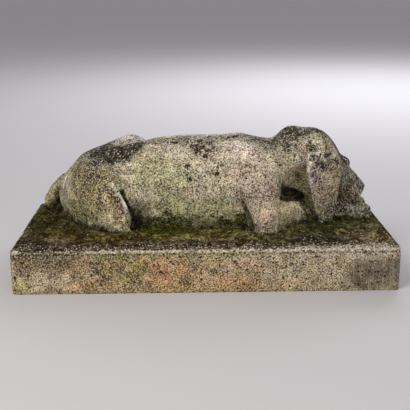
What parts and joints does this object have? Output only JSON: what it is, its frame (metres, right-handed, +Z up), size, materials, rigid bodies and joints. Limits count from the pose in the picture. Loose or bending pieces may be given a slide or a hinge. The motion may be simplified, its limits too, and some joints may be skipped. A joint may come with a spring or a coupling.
{
  "type": "dog statue",
  "caption": "Life-size hound lying asleep on a rectangular plinth, head turned away over its forepaws, cast in one piece of weathered composition stone and standing on its flat underside.",
  "frame": {"origin": "middle of the plinth's flat underside", "axes": "+X along the plinth from the dog's tail to its head, +Y from the dog's back to its far side, +Z up"},
  "size_m": [0.926, 0.46, 0.3519],
  "materials": {
    "stone": "weathered composition stone: coarse, pitted and dull, with lichen, moss and stains"
  },
  "bodies": {
    "root": {"dog_on_plinth": "stone"}
  },
  "joints": []
}
